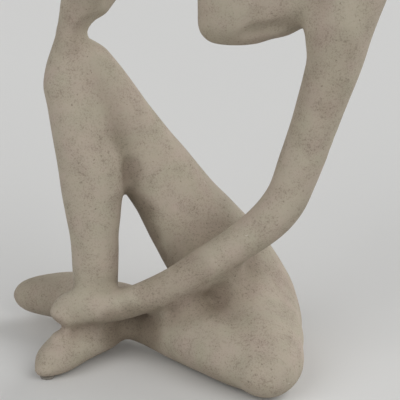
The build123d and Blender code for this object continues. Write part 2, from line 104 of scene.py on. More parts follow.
class SkinSettings(bpy.types.PropertyGroup):
    """Sizes and colours of the cast skin."""

    spacing: FloatProperty(
        name="Spacing", description="Distance between samples of the skin", default=0.001, unit="LENGTH"
    )
    crease_radius: FloatProperty(
        name="Crease radius", description="Rounding where limbs cross", default=0.0012, unit="LENGTH"
    )
    grip_radius: FloatProperty(
        name="Grip radius", description="Rounding round the hand and in the armpit",
        default=0.0025, unit="LENGTH"
    )
    merge_radius: FloatProperty(
        name="Merge radius", description="Rounding where limbs grow together", default=0.005, unit="LENGTH"
    )
    broad_radius: FloatProperty(
        name="Broad radius", description="Rounding where one form runs into the next",
        default=0.020, unit="LENGTH"
    )
    web_radius: FloatProperty(
        name="Web radius", description="Rounding where the near arm meets the hip", default=0.008, unit="LENGTH"
    )
    rub_width: IntProperty(
        name="Rub width", description="Samples that the rubbed hip is averaged over, an odd number", default=7
    )
    rim_depth: FloatProperty(
        name="Rim depth", description="How far below the skin a joint face lies", default=0.002, unit="LENGTH"
    )
    hand_finish: FloatProperty(
        name="Hand finish", description="Depth of the unevenness left by rubbing down",
        default=0.00022, unit="LENGTH"
    )
    stone_colour: FloatVectorProperty(
        name="Stone", description="Main colour of the cast", default=(0.470, 0.402, 0.318), subtype="COLOR"
    )
    rose_colour: FloatVectorProperty(
        name="Rose", description="Pinker clouds in the cast", default=(0.472, 0.376, 0.322), subtype="COLOR"
    )
    moss_colour: FloatVectorProperty(
        name="Moss", description="Greener clouds in the cast", default=(0.420, 0.394, 0.296), subtype="COLOR"
    )
    grit_colour: FloatVectorProperty(
        name="Grit", description="Dark grains in the cast", default=(0.105, 0.078, 0.052), subtype="COLOR"
    )
    chalk_colour: FloatVectorProperty(
        name="Chalk", description="Pale grains in the cast", default=(0.62, 0.58, 0.50), subtype="COLOR"
    )
    # Painted shade: besides tinting the brown clouds, this colour is laid in hollows, on undersides and at touched
    # places to stand in for shade.
    brown_cloud_and_shade_colour: FloatVectorProperty(
        name="Wash", description="Brown wash left in the hollows", default=(0.170, 0.128, 0.088), subtype="COLOR"
    )


class RodSettings(bpy.types.PropertyGroup):
    """Finish of the steel rods."""

    steel_colour: FloatVectorProperty(
        name="Steel", description="Colour of drawn steel", default=(0.56, 0.56, 0.57), subtype="COLOR"
    )
    rust_colour: FloatVectorProperty(
        name="Rust", description="Colour of the light rust on it", default=(0.23, 0.13, 0.08), subtype="COLOR"
    )


class PadSettings(bpy.types.PropertyGroup):
    """Sizes and colours of the felt pads."""

    segments: IntProperty(name="Segments", description="Points round a pad", default=96, min=24)
    squeeze: FloatProperty(
        name="Squeeze", description="How far the felt bulges at its edge", default=0.0003, unit="LENGTH"
    )
    felt_colour: FloatVectorProperty(
        name="Felt", description="Colour of the felt", default=(0.200, 0.178, 0.148), subtype="COLOR"
    )
    fibre_colour: FloatVectorProperty(
        name="Fibre", description="Colour of its paler fibres", default=(0.330, 0.300, 0.255), subtype="COLOR"
    )


class StageSettings(bpy.types.PropertyGroup):
    """Camera, lights and floor."""

    camera_height_angle: FloatProperty(
        name="Camera angle", description="Angle of the camera above the level",
        default=math.radians(20), subtype="ANGLE"
    )
    camera_distance: FloatProperty(
        name="Camera distance", description="From the camera to its target", default=0.700, unit="LENGTH"
    )
    camera_target: FloatVectorProperty(
        name="Camera target", description="Point that the camera looks at",
        default=(-0.025, -0.005, 0.0697), unit="LENGTH"
    )
    camera_lens: FloatProperty(name="Lens", description="Focal length in millimetres", default=150.0)
    floor_colour: FloatVectorProperty(
        name="Floor", description="Colour of the floor and of the world behind it",
        default=(0.80, 0.80, 0.79), subtype="COLOR"
    )
    left_light: FloatProperty(
        name="Left light", description="Strength of the light from the front left", default=0.92
    )
    right_light: FloatProperty(
        name="Right light", description="Strength of the light from the front right", default=0.95
    )
    back_light: FloatProperty(
        name="Back light", description="Strength of the light from the back right", default=1.30
    )
    light_spread: FloatProperty(
        name="Light spread", description="Angle that each light fills", default=math.radians(50), subtype="ANGLE"
    )
    sky_strength: FloatProperty(name="Sky strength", description="Strength of the world's light", default=0.24)


# Level sets of the castings

# Empty samples kept round the figure, and samples of distance kept beyond the widest radius.
MARGIN_CELLS = 3
SPARE_CELLS = 4
# How far a look-up stays short of the block's end, so that it always has a next sample.
SHORT_OF_END = 1.001


class Block:
    """A block of grid samples round the whole figure."""

    def __init__(self, spacing, reach):
        low, high = (np.array(corner) for corner in cad_box)
        margin = int(math.ceil(reach / spacing)) + MARGIN_CELLS
        self.spacing = spacing
        self.reach = reach
        self.first = np.floor(low / spacing).astype(int) - margin
        self.shape = tuple(np.ceil(high / spacing).astype(int) + margin - self.first + 1)
        self.corner = tuple(int(index) for index in self.first)
        self.transform = openvdb.createLinearTransform(voxelSize=spacing)

    def distances(self, points, triangles=None, quads=None):
        """Signed distances from a closed surface, as a dense array."""
        faces = {"triangles": triangles} if quads is None else {"quads": quads}
        grid = openvdb.FloatGrid.createLevelSetFromPolygons(
            points, transform=self.transform, halfWidth=self.reach / self.spacing, **faces
        )
        samples = np.empty(self.shape, np.float32)
        grid.copyToArray(samples, ijk=self.corner)
        return samples

    def surface(self, samples, level=0.0):
        """Points and quads of the surface where the samples have a value."""
        grid = openvdb.FloatGrid(self.reach)
        grid.transform = self.transform
        grid.copyFromArray(samples, ijk=self.corner)
        grid.gridClass = openvdb.GridClass.LEVEL_SET
        return grid.convertToQuads(isovalue=level)

    def closed(self, samples, radius):
        """The samples with every crease filled to a radius: grown by it, then shrunk by it."""
        points, quads = self.surface(samples, radius)
        return self.distances(points, quads=quads) + radius

    def axes(self):
        """The three coordinates of the samples, each shaped to stretch over the block."""
        axes = []
        for axis in range(3):
            line = (self.first[axis] + np.arange(self.shape[axis])) * self.spacing
            axes.append(line.reshape([-1 if axis == other else 1 for other in range(3)]).astype(np.float32))
        return axes

    def at(self, samples, points):
        """Values at points, between the samples."""
        place = points / self.spacing - self.first
        place = np.clip(place, 0, np.array(self.shape) - SHORT_OF_END)
        cell = place.astype(int)
        part = (place - cell).astype(np.float32)
        total = np.zeros(len(points), np.float32)
        for corner in range(8):
            step = np.array([corner >> 2 & 1, corner >> 1 & 1, corner & 1])
            weight = np.prod(np.where(step, part, 1 - part), axis=1)
            index = cell + step
            total += weight * samples[index[:, 0], index[:, 1], index[:, 2]]
        return total

    def slope(self, samples, points):
        """Gradients at points."""
        slopes = np.empty((len(points), 3), np.float32)
        for axis in range(3):
            step = np.zeros(3)
            step[axis] = self.spacing / 2
            rise = self.at(samples, points + step) - self.at(samples, points - step)
            slopes[:, axis] = rise / self.spacing
        return slopes


def softened(samples, width, passes):
    """The samples averaged over a width of cells along each axis, some times over."""
    half = width // 2
    for _ in range(passes):
        for axis in range(3):
            pad = [(half + 1, half) if axis == other else (0, 0) for other in range(3)]
            sums = np.cumsum(np.pad(samples, pad, mode="edge"), axis=axis, dtype=np.float64)
            high = np.take(sums, range(width, sums.shape[axis]), axis=axis)
            low = np.take(sums, range(0, sums.shape[axis] - width), axis=axis)
            samples = ((high - low) / width).astype(np.float32)
    return samples


def node_surface(node):
    """Points and triangles of a CAD node."""
    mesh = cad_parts[node].data
    mesh.calc_loop_triangles()
    points = np.empty(len(mesh.vertices) * 3, np.float32)
    mesh.vertices.foreach_get("co", points)
    triangles = np.empty(len(mesh.loop_triangles) * 3, np.int32)
    mesh.loop_triangles.foreach_get("vertices", triangles)
    return points.reshape(-1, 3), triangles.reshape(-1, 3)


def unit(vectors):
    """Vectors made one long."""
    return vectors / np.maximum(np.linalg.norm(vectors, axis=1, keepdims=True), 1e-9)


# The skin

# Passes of the average that rubs the hip down, and the light one over the whole figure.
RUB_PASSES = 3
SMOOTH_WIDTH = 3
SMOOTH_PASSES = 1
# Steps that points take to a surface, and the least steepness counted in one, so that no point runs away.
SETTLE_STEPS = 2
SETTLE_STEEPNESS = 0.1
SEAM_STEPS = 3
SEAM_STEEPNESS = 0.3
# The unevenness of hand finishing: its length, its spread, and the height over which it starts at the base.
FINISH_WAVELENGTH = 0.011
FINISH_SPREAD = 0.8
FINISH_FADE = 0.003
# Painted shade in hollows: widths in samples over which the stone round a point is averaged, each with the share
# of stone above which the shade is painted.
HOLLOW_SCALES = ((5, 0.50), (13, 0.42))
HOLLOW_PASSES = 3
HOLLOW_GAIN = 4.0
# Painted shade on undersides: its strength where the skin faces straight down.
UNDERSIDE_SHADE = 0.45


def nearness(axes, places):
    """How near points lie to the nearest place: 1 within half of its reach, and 0 beyond it."""
    x, y, z = axes
    share = np.float32(0)
    for place, reach in places:
        gap = np.sqrt((x - place.x) ** 2 + (y - place.y) ** 2 + (z - place.z) ** 2)
        share = np.maximum(share, np.clip(2 - 2 * gap / reach, 0, 1))
    return share * share * (3 - 2 * share)


def blends(settings):
    """Radii that creases are filled to, each with the middles and reaches of the places that it fills."""
    grips = (
        (spot("hand_pin"), 0.034),
        (spot(TORSO, 0.58, 0.26, 0.16), 0.026),
        (spot(HIPS, 0.33, 0.48, 0.54), 0.014),
    )
    merges = (
        (spot(TORSO, 0.50, 0.50, 0.75), 0.070),
        (spot("neck_rod"), 0.051),
        (spot("far_shoulder_rod"), 0.045),
        (spot("chin_pin"), 0.030),
        (spot("hip_dowels"), 0.042),
        (spot(HIPS, 0.75, 0.18, 0.29), 0.044),
        (spot(HIPS, 0.27, 0.41, 0.84), 0.024),
        (spot(HIPS, 0.32, 0.38, 0.07), 0.022),
        (spot(HIPS, 0.40, 0.28, 0.15), 0.018),
    )
    webs = (
        (spot(HIPS, 0.73, 0.22, 0.31), 0.020),
    )
    broad = (
        (spot(HIPS, 1.00, 0.38, 0.16), 0.036),
        (spot(TORSO, 0.77, 0.20, 0.45), 0.042),
    )
    return (
        (settings.grip_radius, grips),
        (settings.merge_radius, merges),
        (settings.web_radius, webs),
        (settings.broad_radius, broad),
    )


def rubbed_places():
    """Middles and reaches of the places that were rubbed smooth all over."""
    return (
        (spot(HIPS, 0.97, 0.38, 0.18), 0.040),
    )


def touches():
    """Small work by hand, each with its middle, its reach, the stone left on and the brown painted shade laid
    there.

    Stone is in metres, and below zero where it was cut away. Painted shade runs from 0 to 1.
    """
    return (
        (spot(FAR_ARM, 0.24, 0.27, 0.00), 0.011, -0.0020, 0.0),
        (spot(FAR_ARM, 0.03, 0.15, 0.17), 0.014, -0.0011, 0.0),
        (spot(FAR_ARM, 0.13, 0.05, 0.08), 0.010, -0.0005, 0.35),
        (spot(FAR_ARM, 0.20, 0.05, 0.15), 0.011, -0.0005, 0.40),
        (spot(HIPS, 0.13, 0.44, 1.00), 0.011, -0.0003, 0.30),
        (spot(HIPS, 0.08, 0.53, 0.91), 0.018, 0.0010, 0.0),
        (spot(HIPS, 0.31, 0.37, 0.55), 0.024, 0.0009, 0.0),
        (spot(HIPS, 0.30, 0.34, 0.59), 0.014, 0.0007, 0.0),
        (spot(HIPS, 0.35, 0.46, 0.60), 0.008, -0.0012, 0.4),
        (spot(HIPS, 0.35, 0.50, 0.56), 0.009, 0.0, 0.7),
        (spot(HIPS, 0.38, 0.53, 0.47), 0.013, 0.0, 0.9),
        (spot(HIPS, 0.41, 0.55, 0.39), 0.012, 0.0, 0.8),
        (spot(HIPS, 0.45, 0.56, 0.32), 0.010, 0.0, 0.6),
        (spot(HIPS, 0.97, 0.27, 0.12), 0.017, 0.0011, 0.0),
        (spot(HIPS, 0.93, 0.45, 0.22), 0.014, 0.0007, 0.0),
        (spot(HIPS, 0.08, 0.28, 0.135), 0.006, -0.0006, 0.3),
        (spot(HIPS, 0.07, 0.21, 0.06), 0.012, 0.0016, 0.0),
        (spot(HIPS, 0.36, 0.35, 0.11), 0.020, 0.0, 1.0),
        (spot(HIPS, 0.68, 0.25, 0.24), 0.009, -0.0012, 1.0),
        (spot(TORSO, 0.52, 0.30, 0.14), 0.017, 0.0015, 0.0),
        (spot(TORSO, 0.40, 0.31, 0.13), 0.013, -0.0008, 0.15),
        (spot(NEAR_ARM, 0.02, 0.42, 0.01), 0.009, 0.0018, 0.0),
        (spot(NEAR_ARM, 0.16, 0.42, 0.01), 0.009, 0.0, 0.7),
        (spot(NEAR_ARM, 0.21, 0.32, 0.03), 0.010, 0.0, 0.8),
        (spot(NEAR_ARM, 0.27, 0.25, 0.05), 0.010, 0.0, 0.8),
        (spot(NEAR_ARM, 0.32, 0.25, 0.07), 0.009, 0.0, 0.7),
        (spot(NEAR_ARM, 0.87, 0.20, 0.95), 0.015, 0.0, 0.3),
        (spot(NEAR_ARM, 0.85, 0.15, 0.82), 0.015, 0.0, 0.3),
        (spot(NEAR_ARM, 0.82, 0.09, 0.70), 0.013, 0.0, 0.2),
        (spot(NEAR_ARM, 0.45, 0.14, 0.21), 0.013, 0.0, 0.4),
        (spot(NEAR_ARM, 0.36, 0.14, 0.14), 0.013, 0.0, 0.4),
        (spot(CROSSED_LEG, 0.09, 0.81, 0.33), 0.018, 0.0, 0.3),
    )


def cast_samples(block, settings):
    """Level set of the whole figure with its creases filled, and the level set of each casting."""
    solids = {node: block.distances(*node_surface(node)) for node in CASTINGS}
    cores = [block.distances(*node_surface(node)) for node in RODS]
    plain = np.minimum.reduce(list(solids.values()) + cores)
    axes = block.axes()
    figure = block.closed(plain, settings.crease_radius)
    for radius, places in blends(settings):
        figure += (block.closed(plain, radius) - figure) * nearness(axes, places)
    rubbed = softened(figure, settings.rub_width, RUB_PASSES)
    figure += (rubbed - figure) * nearness(axes, rubbed_places())
    for place, reach, left_on, _ in touches():
        if left_on:
            figure -= left_on * nearness(axes, [(place, reach)])
    return softened(figure, SMOOTH_WIDTH, SMOOTH_PASSES), solids


def settle(block, samples, points, steps):
    """Moves points along the slope of the samples onto their zero surface."""
    for _ in range(steps):
        slopes = block.slope(samples, points)
        steep = np.maximum((slopes**2).sum(axis=1, keepdims=True), SETTLE_STEEPNESS)
        points = points - slopes * (block.at(samples, points)[:, None] / steep)
    return points


def share_out(block, solids, points, quads):
    """The casting that each quad of the skin belongs to, as a number."""
    middles = points[quads].mean(axis=1)
    return np.argmin([block.at(solids[node], middles) for node in CASTINGS], axis=0)


def slide(block, figure, between, points):
    """Moves points along the skin, by half a cell at most in each step, to where a second field is zero."""
    longest = block.spacing / 2
    for _ in range(SEAM_STEPS):
        normal = unit(block.slope(figure, points))
        slope = block.slope(between, points)
        slope -= normal * (slope * normal).sum(axis=1, keepdims=True)
        steep = np.maximum((slope**2).sum(axis=1, keepdims=True), SEAM_STEEPNESS)
        move = slope * (block.at(between, points)[:, None] / steep)
        size = np.maximum(np.linalg.norm(move, axis=1, keepdims=True), longest)
        points = points - move * (longest / size)
    return settle(block, figure, points, 1)


def straighten_seams(block, figure, solids, points, quads, owners):
    """Moves the points between two castings to where both are as near, so that the joints run even."""
    lowest = np.full(len(points), len(CASTINGS))
    highest = np.full(len(points), -1)
    for corner in range(4):
        np.minimum.at(lowest, quads[:, corner], owners)
        np.maximum.at(highest, quads[:, corner], owners)
    for first, second in itertools.combinations(range(len(CASTINGS)), 2):
        chosen = np.nonzero((lowest == first) & (highest == second))[0]
        if len(chosen):
            between = solids[CASTINGS[first]] - solids[CASTINGS[second]]
            points[chosen] = slide(block, figure, between, points[chosen])
    return points


def unevenness(points):
    """A slow, even wander from 0 to 1 over the skin, as hand rubbing leaves."""
    values = [noise.noise(Vector(point) / FINISH_WAVELENGTH) for point in points]
    return np.clip(np.array(values) * FINISH_SPREAD + 0.5, 0, 1)


def hollowness(block, figure, points, normals):
    """How much brown painted shade each point gets, from 0 to 1: in hollows, on undersides and in touched places.
    """
    inside = np.clip(0.5 - figure / block.spacing, 0, 1)
    # Painted shade: darker where the skin faces down, in crowded hollows and at the touched places.
    hollow = -UNDERSIDE_SHADE * normals[:, 2]
    for width, level in HOLLOW_SCALES:
        surround = block.at(softened(inside, width, HOLLOW_PASSES), points)
        hollow = np.maximum(hollow, (surround - level) * HOLLOW_GAIN)
    for place, reach, _, touch_shade in touches():
        hollow = np.maximum(hollow, touch_shade * nearness(points.T, [(place, reach)]))
    return np.clip(hollow, 0, 1)


def finished_skin(settings):
    """The finished skin as points, normals and painted shade per point, and quads with the casting that owns each.
    """
    block = Block(settings.spacing, settings.broad_radius + SPARE_CELLS * settings.spacing)
    figure, solids = cast_samples(block, settings)
    points, quads = block.surface(figure)
    points = settle(block, figure, points.astype(np.float64), SETTLE_STEPS)
    owners = share_out(block, solids, points, quads)
    points = straighten_seams(block, figure, solids, points, quads, owners)
    normals = unit(block.slope(figure, points))
    hollows = hollowness(block, figure, points, normals)
    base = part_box(HIPS)[0].z
    free = np.clip((points[:, 2] - base) / FINISH_FADE, 0, 1)
    points = points - normals * (unevenness(points) * free * settings.hand_finish)[:, None]
    return points, normals, hollows, quads, owners


def close_openings(mesh, normals, depth):
    """Closes a casting's joint faces a little below its skin, where its neighbours hide them."""
    work = bmesh.new()
    work.from_mesh(mesh)
    work.verts.ensure_lookup_table()
    rim = [edge for edge in work.edges if edge.is_boundary]
    inner = {}
    for point in {point for edge in rim for point in edge.verts}:
        inner[point] = work.verts.new(point.co - Vector(normals[point.index]) * depth, point)
    for edge in rim:
        first, second = edge.verts
        work.faces.new((first, second, inner[second], inner[first]), edge.link_faces[0])
    seats = [work.edges.get((inner[edge.verts[0]], inner[edge.verts[1]])) for edge in rim]
    made = bmesh.ops.holes_fill(work, edges=seats, sides=0)
    bmesh.ops.triangulate(work, faces=made["faces"])
    bmesh.ops.recalc_face_normals(work, faces=work.faces)
    work.to_mesh(mesh)
    work.free()


def casting_piece(name, points, quads, normals, hollows, depth):
    """One casting's piece from its share of the skin."""
    used, corners = np.unique(quads, return_inverse=True)
    mesh = bpy.data.meshes.new(name)
    mesh.from_pydata(points[used].tolist(), [], corners.reshape(-1, 4).tolist())
    # The painted shade per point, read by the stone's colour.
    attribute = mesh.attributes.new("hollow", "FLOAT", "POINT")
    attribute.data.foreach_set("value", hollows[used].astype(np.float32))
    close_openings(mesh, normals[used], depth)
    mesh.shade_smooth()
    outward = np.zeros((len(mesh.vertices), 3))
    outward[:len(used)] = normals[used]
    mesh.normals_split_custom_set_from_vertices(outward.tolist())
    return new_object(name, mesh)


# Shader groups

# The sockets that a Mix node has for colours.
MIX_SHARE, MIX_FIRST, MIX_SECOND = 0, 6, 7
MIX_RESULT = 2
# What makes grains uneven: the ripples in a cell, their height by the cell's size, and the smallest grain's size.
RIPPLES_PER_CELL = 2.4
RIPPLE_SHARE = 0.8
SMALLEST_GRAIN_SHARE = 0.35


def new_group(name, inputs, outputs):
    """A shader group with named float or colour sockets, and its two end nodes."""
    group = bpy.data.node_groups.new(name, "ShaderNodeTree")
    for label, kind, default in inputs:
        socket = group.interface.new_socket(label, in_out="INPUT", socket_type="NodeSocket" + kind)
        socket.default_value = default
    for label, kind in outputs:
        group.interface.new_socket(label, in_out="OUTPUT", socket_type="NodeSocket" + kind)
    return group, group.nodes.new("NodeGroupInput"), group.nodes.new("NodeGroupOutput")


def add_node(tree, kind, settings=(), values=(), links=()):
    """A node with its settings, its socket values and what its sockets take."""
    node = tree.nodes.new(kind)
    for name, value in dict(settings).items():
        setattr(node, name, value)
    for name, value in dict(values).items():
        node.inputs[name].default_value = value
    for name, source in dict(links).items():
        tree.links.new(source, node.inputs[name])
    return node


def maths(tree, operation, first, second=None, clamp=False):
    """A Math node's output; each operand is a socket or a number."""
    node = tree.nodes.new("ShaderNodeMath")
    node.operation = operation
    node.use_clamp = clamp
    for socket, operand in zip(node.inputs, (first, second)):
        if isinstance(operand, (int, float)):
            socket.default_value = operand
        elif operand is not None:
            tree.links.new(operand, socket)
    return node.outputs[0]


def mixed(tree, share, first, second):
    """A colour between two, by a share; each is a socket or a plain value."""
    node = tree.nodes.new("ShaderNodeMix")
    node.data_type = "RGBA"
    for number, operand in ((MIX_SHARE, share), (MIX_FIRST, first), (MIX_SECOND, second)):
        if isinstance(operand, bpy.types.NodeSocket):
            tree.links.new(operand, node.inputs[number])
        else:
            node.inputs[number].default_value = operand
    return node.outputs[MIX_RESULT]


def grains_group():
    """Uneven grains set in a solid: a mask of those that the surface cuts, and a tint for each grain."""
    group, start, end = new_group(
        "Grains",
        (("Vector", "Vector", (0, 0, 0)), ("Cell Size", "Float", 0.001), ("Grain Share", "Float", 0.3),
         ("Size Share", "Float", 0.3), ("Edge", "Float", 0.08)),
        (("Mask", "Float"), ("Tint", "Float")),
    )
    scale = maths(group, "DIVIDE", 1.0, start.outputs["Cell Size"])
    ripple = add_node(
        group, "ShaderNodeTexNoise", values={"Detail": 1.0},
        links={"Vector": start.outputs["Vector"], "Scale": maths(group, "MULTIPLY", scale, RIPPLES_PER_CELL)},
    )
    height = maths(group, "MULTIPLY", start.outputs["Cell Size"], RIPPLE_SHARE)
    bent = add_node(
        group, "ShaderNodeVectorMath", {"operation": "MULTIPLY_ADD"},
        links={0: ripple.outputs["Color"], 1: height, 2: start.outputs["Vector"]},
    )
    cells = add_node(
        group, "ShaderNodeTexVoronoi", {"feature": "F1"}, {"Randomness": 1.0},
        {"Vector": bent.outputs[0], "Scale": scale},
    )
    parts = add_node(group, "ShaderNodeSeparateColor", links={"Color": cells.outputs["Color"]})
    growth = maths(group, "ADD", parts.outputs["Green"], SMALLEST_GRAIN_SHARE)
    size = maths(group, "MULTIPLY", start.outputs["Size Share"], growth)
    inside = maths(group, "SUBTRACT", size, cells.outputs["Distance"])
    soft = maths(group, "DIVIDE", inside, start.outputs["Edge"], clamp=True)
    chosen = maths(group, "LESS_THAN", parts.outputs["Red"], start.outputs["Grain Share"])
    group.links.new(maths(group, "MULTIPLY", soft, chosen), end.inputs["Mask"])
    group.links.new(parts.outputs["Blue"], end.inputs["Tint"])
    return group


def flecks_group():
    """Fine ragged flecks with no outline of their own, as a mask from 0 to 1."""
    group, start, end = new_group(
        "Flecks",
        (("Vector", "Vector", (0, 0, 0)), ("Fleck Size", "Float", 0.001), ("Floor", "Float", 0.55),
         ("Edge", "Float", 0.1)),
        (("Mask", "Float"),),
    )
    scale = maths(group, "DIVIDE", 1.0, start.outputs["Fleck Size"])
    fleck = add_node(
        group, "ShaderNodeTexNoise", values={"Detail": 2.0, "Roughness": 0.6},
        links={"Vector": start.outputs["Vector"], "Scale": scale},
    )
    raised = maths(group, "SUBTRACT", fleck.outputs["Fac"], start.outputs["Floor"])
    group.links.new(maths(group, "DIVIDE", raised, start.outputs["Edge"], clamp=True), end.inputs["Mask"])
    return group


def clouds_group():
    """Slow clouds with a finer ripple in them, as a mask from 0 to 1."""
    group, start, end = new_group(
        "Clouds",
        (("Vector", "Vector", (0, 0, 0)), ("Cloud Size", "Float", 0.01), ("Contrast", "Float", 1.0)),
        (("Mask", "Float"),),
    )
    scale = maths(group, "DIVIDE", 1.0, start.outputs["Cloud Size"])
    cloud = add_node(
        group, "ShaderNodeTexNoise", values={"Detail": 3.0, "Roughness": 0.55},
        links={"Vector": start.outputs["Vector"], "Scale": scale},
    )
    centred = maths(group, "SUBTRACT", cloud.outputs["Fac"], 0.5)
    stretched = maths(group, "MULTIPLY", centred, start.outputs["Contrast"])
    group.links.new(maths(group, "ADD", stretched, 0.5, clamp=True), end.inputs["Mask"])
    return group


def place_group(tree, group, vector, values):
    """A group placed in a tree with its own values."""
    node = tree.nodes.new("ShaderNodeGroup")
    node.node_tree = group
    tree.links.new(vector, node.inputs["Vector"])
    for name, value in values.items():
        node.inputs[name].default_value = value
    return node


def effect(name, maker):
    """A shader group, made on first use."""
    return bpy.data.node_groups.get(name) or maker()


def opaque(colour):
    """A colour with full alpha."""
    return (*colour, 1.0)


# Materials

def new_material(name):
    """A material with its tree, its Principled shader and object coordinates."""
    material = bpy.data.materials.new(name)
    material.use_nodes = True
    tree = material.node_tree
    shader = tree.nodes["Principled BSDF"]
    place = tree.nodes.new("ShaderNodeTexCoord").outputs["Object"]
    return material, tree, shader, place


def add_bump(tree, shader, height, strength, distance):
    """A bump from a height of 0 to 1, on the shader's normal."""
    bump = add_node(tree, "ShaderNodeBump", values={"Strength": strength, "Distance": distance},
                    links={"Height": height})
    tree.links.new(bump.outputs["Normal"], shader.inputs["Normal"])


def stone_masks(tree, place):
    """What varies over the cast stone, as masks and a tint from 0 to 1."""
    grains = effect("Grains", grains_group)
    flecks = effect("Flecks", flecks_group)
    clouds = effect("Clouds", clouds_group)
    shifted = add_node(tree, "ShaderNodeMapping", values={"Location": (0.37, 0.11, 0.53)}, links={"Vector": place})
    aside = shifted.outputs[0]
    placed = {
        "rose": (clouds, place, {"Cloud Size": 0.011, "Contrast": 2.6}),
        "moss": (clouds, aside, {"Cloud Size": 0.013, "Contrast": 2.8}),
        "cluster": (clouds, aside, {"Cloud Size": 0.0085, "Contrast": 3.2}),
        "sand": (clouds, place, {"Cloud Size": 0.0009, "Contrast": 1.8}),
        "coarse": (flecks, place, {"Fleck Size": 0.00100, "Floor": 0.55, "Edge": 0.12}),
        "fine": (flecks, aside, {"Fleck Size": 0.00055, "Floor": 0.52, "Edge": 0.14}),
        "grit": (grains, place, {"Cell Size": 0.0013, "Grain Share": 0.34, "Size Share": 0.26, "Edge": 0.14}),
        "chalk": (grains, aside, {"Cell Size": 0.0042, "Grain Share": 0.05, "Size Share": 0.10, "Edge": 0.05}),
    }
    nodes = {name: place_group(tree, *group) for name, group in placed.items()}
    masks = {name: node.outputs["Mask"] for name, node in nodes.items()}
    masks["tint"] = nodes["grit"].outputs["Tint"]
    # The painted shade stored on the skin.
    masks["hollow"] = add_node(tree, "ShaderNodeAttribute", {"attribute_name": "hollow"}).outputs["Fac"]
    return masks


def sandstone_material(settings):
    """Matte cast stone: rose and moss clouds, clustered dark flecks and grains, brown clouds, and brown painted
    shade in hollows and on undersides.
    """
    material, tree, shader, place = new_material("cast_sandstone")
    masks = stone_masks(tree, place)

    def shared(mask, share):
        return maths(tree, "MULTIPLY", mask, share)

    # Dark flecks crowd in the clusters, and more of them as painted shade in hollows and on undersides.
    crowding = maths(tree, "ADD", shared(masks["hollow"], 0.45), 0.15)
    crowd = maths(tree, "ADD", shared(masks["cluster"], 0.85), crowding, clamp=True)
    layers = (
        (masks["rose"], 0.75, settings.rose_colour),
        (masks["moss"], 0.60, settings.moss_colour),
        (masks["sand"], 0.12, settings.chalk_colour),
        (maths(tree, "POWER", masks["cluster"], 2.0), 0.16, settings.brown_cloud_and_shade_colour),
        # Painted shade: brown laid in hollows, on undersides and at touched places.
        (masks["hollow"], 0.66, settings.brown_cloud_and_shade_colour),
        (shared(masks["coarse"], crowd), 0.36, settings.grit_colour),
        (shared(masks["fine"], crowd), 0.32, settings.grit_colour),
        (masks["grit"], maths(tree, "ADD", shared(masks["tint"], 0.50), 0.06), settings.grit_colour),
        (masks["chalk"], 0.7, settings.chalk_colour),
    )
    colour = opaque(settings.stone_colour)
    for mask, share, tone in layers:
        colour = mixed(tree, shared(mask, share), colour, opaque(tone))
    tree.links.new(colour, shader.inputs["Base Color"])

    tree.links.new(maths(tree, "ADD", shared(masks["sand"], 0.14), 0.74), shader.inputs["Roughness"])
    shader.inputs["Specular IOR Level"].default_value = 0.28

    pits = maths(tree, "ADD", shared(masks["grit"], -0.5), shared(masks["coarse"], -0.25))
    add_bump(tree, shader, maths(tree, "ADD", masks["sand"], pits), 0.45, 0.00012)
    return material


def steel_material(settings):
    """Drawn steel with fine lines and a little rust under the glue."""
    material, tree, shader, place = new_material("drawn_steel")
    clouds = effect("Clouds", clouds_group)
    rust = place_group(tree, clouds, place, {"Cloud Size": 0.006, "Contrast": 5.0})
    lines = place_group(tree, clouds, place, {"Cloud Size": 0.0004, "Contrast": 2.0})
    share = maths(tree, "MULTIPLY", rust.outputs["Mask"], 0.35)
    colour = mixed(tree, share, opaque(settings.steel_colour), opaque(settings.rust_colour))
    tree.links.new(colour, shader.inputs["Base Color"])
    rough = maths(tree, "ADD", maths(tree, "MULTIPLY", lines.outputs["Mask"], 0.20), 0.26)
    tree.links.new(rough, shader.inputs["Roughness"])
    metal = maths(tree, "SUBTRACT", 1.0, maths(tree, "MULTIPLY", share, 1.6), clamp=True)
    tree.links.new(metal, shader.inputs["Metallic"])
    add_bump(tree, shader, lines.outputs["Mask"], 0.3, 0.00003)
    return material


def felt_material(settings):
    """Pressed felt: matted fibres and a soft sheen."""
    material, tree, shader, place = new_material("pressed_felt")
    clouds = effect("Clouds", clouds_group)
    stretched = add_node(tree, "ShaderNodeMapping", values={"Scale": (1.0, 2.6, 1.0)}, links={"Vector": place})
    fibres = place_group(tree, clouds, stretched.outputs[0], {"Cloud Size": 0.0007, "Contrast": 3.5})
    tufts = place_group(tree, clouds, place, {"Cloud Size": 0.0035, "Contrast": 2.2})
    share = maths(tree, "MULTIPLY", fibres.outputs["Mask"], maths(tree, "ADD", tufts.outputs["Mask"], 0.25))
    colour = mixed(tree, share, opaque(settings.felt_colour), opaque(settings.fibre_colour))
    tree.links.new(colour, shader.inputs["Base Color"])
    rough = maths(tree, "ADD", maths(tree, "MULTIPLY", tufts.outputs["Mask"], 0.08), 0.88)
    tree.links.new(rough, shader.inputs["Roughness"])
    shader.inputs["Sheen Weight"].default_value = 0.5
    add_bump(tree, shader, fibres.outputs["Mask"], 0.8, 0.00025)
    return material


def floor_material(settings):
    """The floor's plain matte paper."""
    material, _, shader, _ = new_material("floor_paper")
    shader.inputs["Base Color"].default_value = opaque(settings.floor_colour)
    shader.inputs["Roughness"].default_value = 0.9
    shader.inputs["Specular IOR Level"].default_value = 0.1
    return material


# Felt pads

# The flat faces' rings, by shares of the radius.
PAD_RING_SHARES = (0.25, 0.5, 0.75, 0.9)
# The edge's rings: how many squeezes each lies in from the radius, and its share of the height.
PAD_EDGE = ((2.0, 0.00), (0.7, 0.10), (0.1, 0.35), (0.1, 0.65), (0.7, 0.90), (2.0, 1.00))
